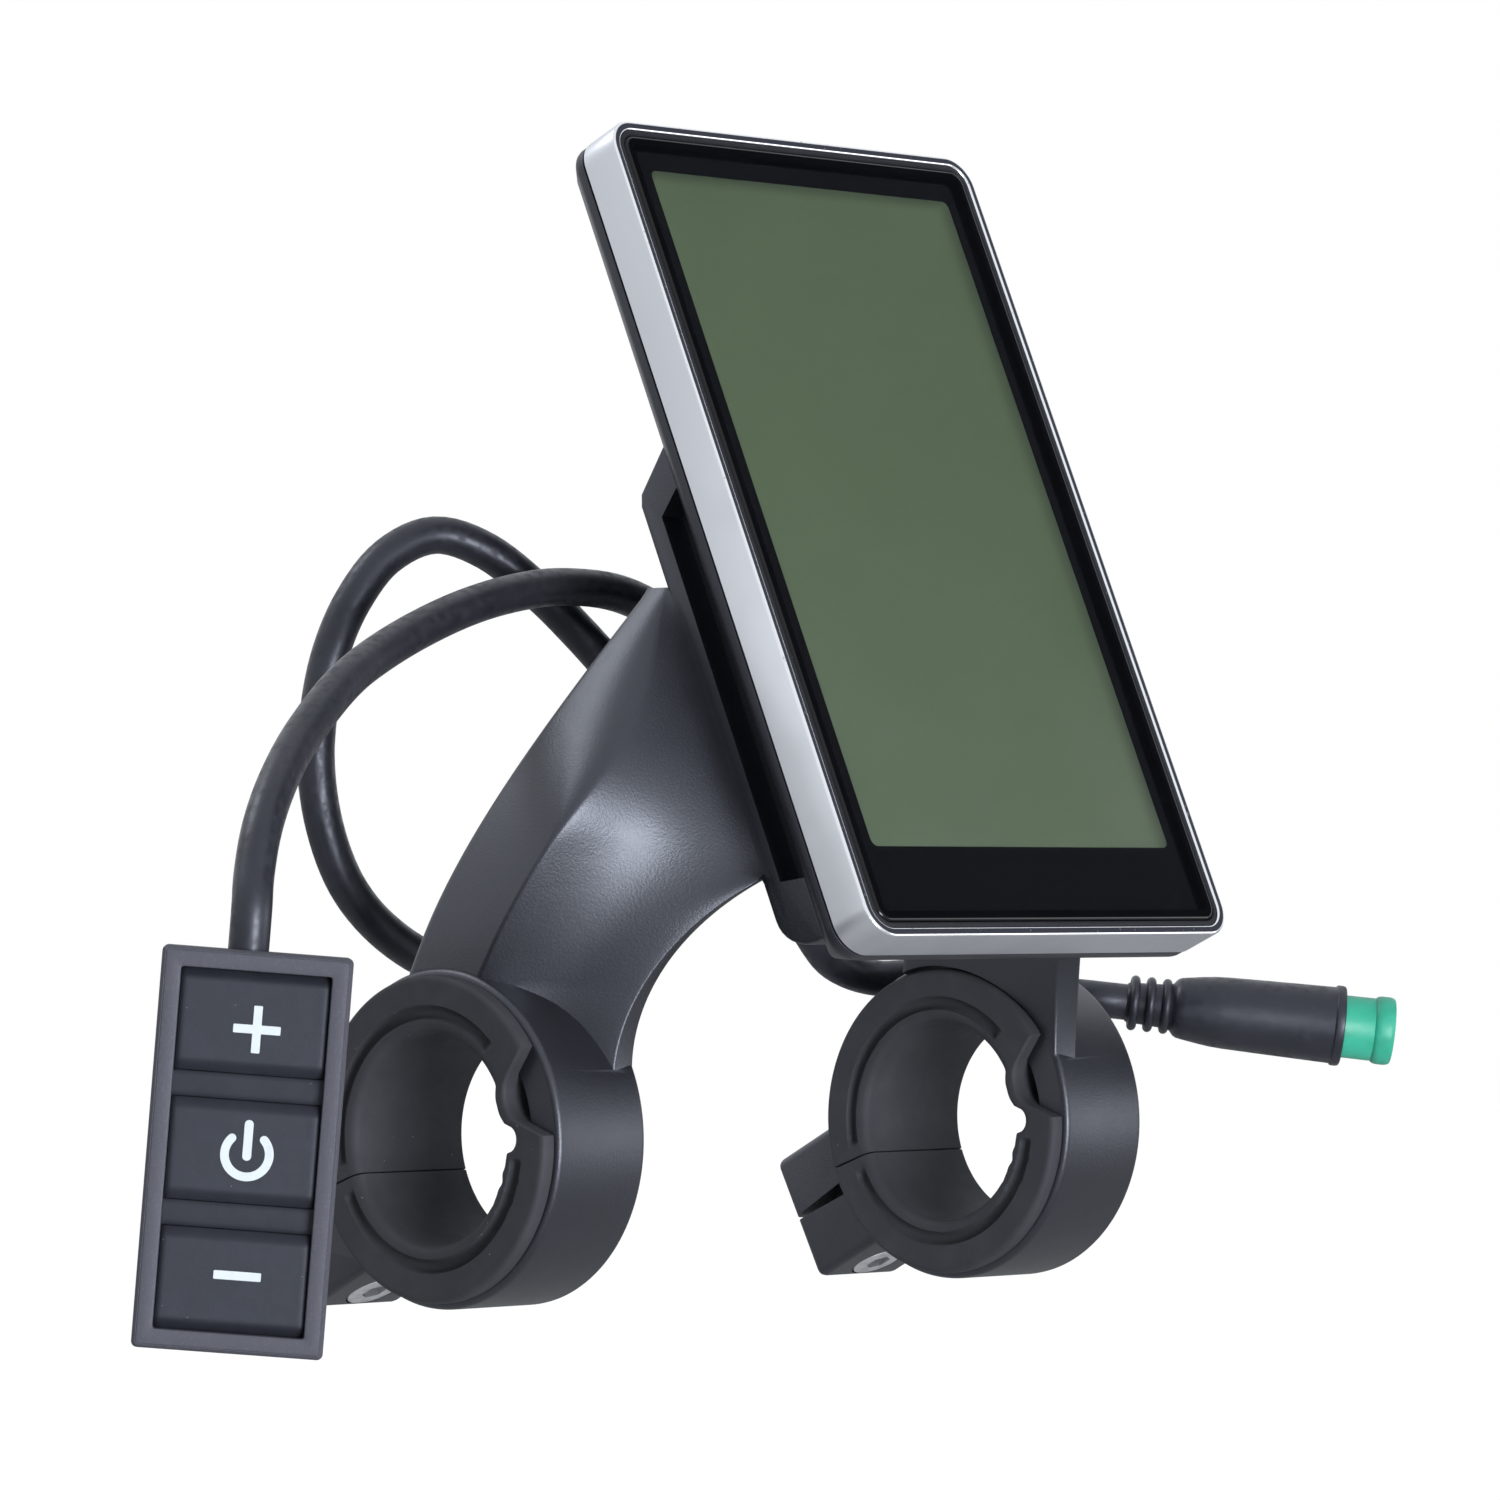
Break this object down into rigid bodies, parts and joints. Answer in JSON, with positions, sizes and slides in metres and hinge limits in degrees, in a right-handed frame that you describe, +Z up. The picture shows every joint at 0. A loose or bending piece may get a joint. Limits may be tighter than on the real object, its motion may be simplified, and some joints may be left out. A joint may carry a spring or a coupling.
{
  "type": "e-bike display",
  "caption": "Upright handlebar display with a flat liquid-crystal window, on a moulded bracket with clamp rings, with a thumb remote and a plug lead.",
  "frame": {"origin": "on the handlebar axis, midway between the two clamp rings", "axes": "+X along the handlebar to the rider's right, +Y forward, away from the rider, +Z up"},
  "size_m": [0.2, 0.084, 0.146],
  "materials": {
    "glass": "clear, black border printed on its back",
    "seal": "matte",
    "alloy": "satin with a bright lip",
    "lcd": "grey-green reflective",
    "diffuser": "matte",
    "strip": "matte",
    "board": "satin",
    "chips": "matte",
    "screw": "bright",
    "shell": "fine grain",
    "bracket": "fine grain",
    "shim": "matte",
    "lead": "slightly glossy",
    "insert": "satin",
    "contact": "bright",
    "remote": "satin",
    "key": "satin",
    "dome": "bright"
  },
  "bodies": {
    "display": {"cover_glass": "glass", "glass_gasket": "seal", "bezel_frame": "alloy", "lcd_panel": "lcd", "light_guide": "diffuser", "contact_strip": "strip", "main_board": "board", "board_parts": "chips", "board_screws": "screw", "shell_seal": "seal", "back_shell": "shell", "shell_screws": "screw", "remote_lead_gland": "lead", "main_lead_gland": "lead", "bracket": "bracket", "tray_screws": "screw", "left_shim": "shim", "right_shim": "shim", "clamp_bolts": "screw", "clamp_nuts": "screw", "main_lead": "lead", "plug_boot": "lead", "plug_insert": "insert", "plug_pins": "contact", "remote_lead": "lead", "remote_frame": "remote", "remote_housing": "shell", "keypad_sheet": "key", "remote_board": "board", "dome_switches": "dome", "lead_grip": "lead", "remote_screws": "screw", "remote_clamp": "shell", "remote_clamp_screws": "screw"},
    "plus": {"key_plus": "key"},
    "power": {"key_power": "key"},
    "minus": {"key_minus": "key"}
  },
  "joints": [
    {"name": "plus_press", "type": "slide", "parent": "display", "child": "plus", "axis": [0.6743, 0.7385, 0], "range_m": [0, 0.0008], "stiffness_N_per_m": 1500},
    {"name": "power_press", "type": "slide", "parent": "display", "child": "power", "axis": [0.6743, 0.7385, 0], "range_m": [0, 0.0008], "stiffness_N_per_m": 1500},
    {"name": "minus_press", "type": "slide", "parent": "display", "child": "minus", "axis": [0.6743, 0.7385, 0], "range_m": [0, 0.0008], "stiffness_N_per_m": 1500}
  ]
}
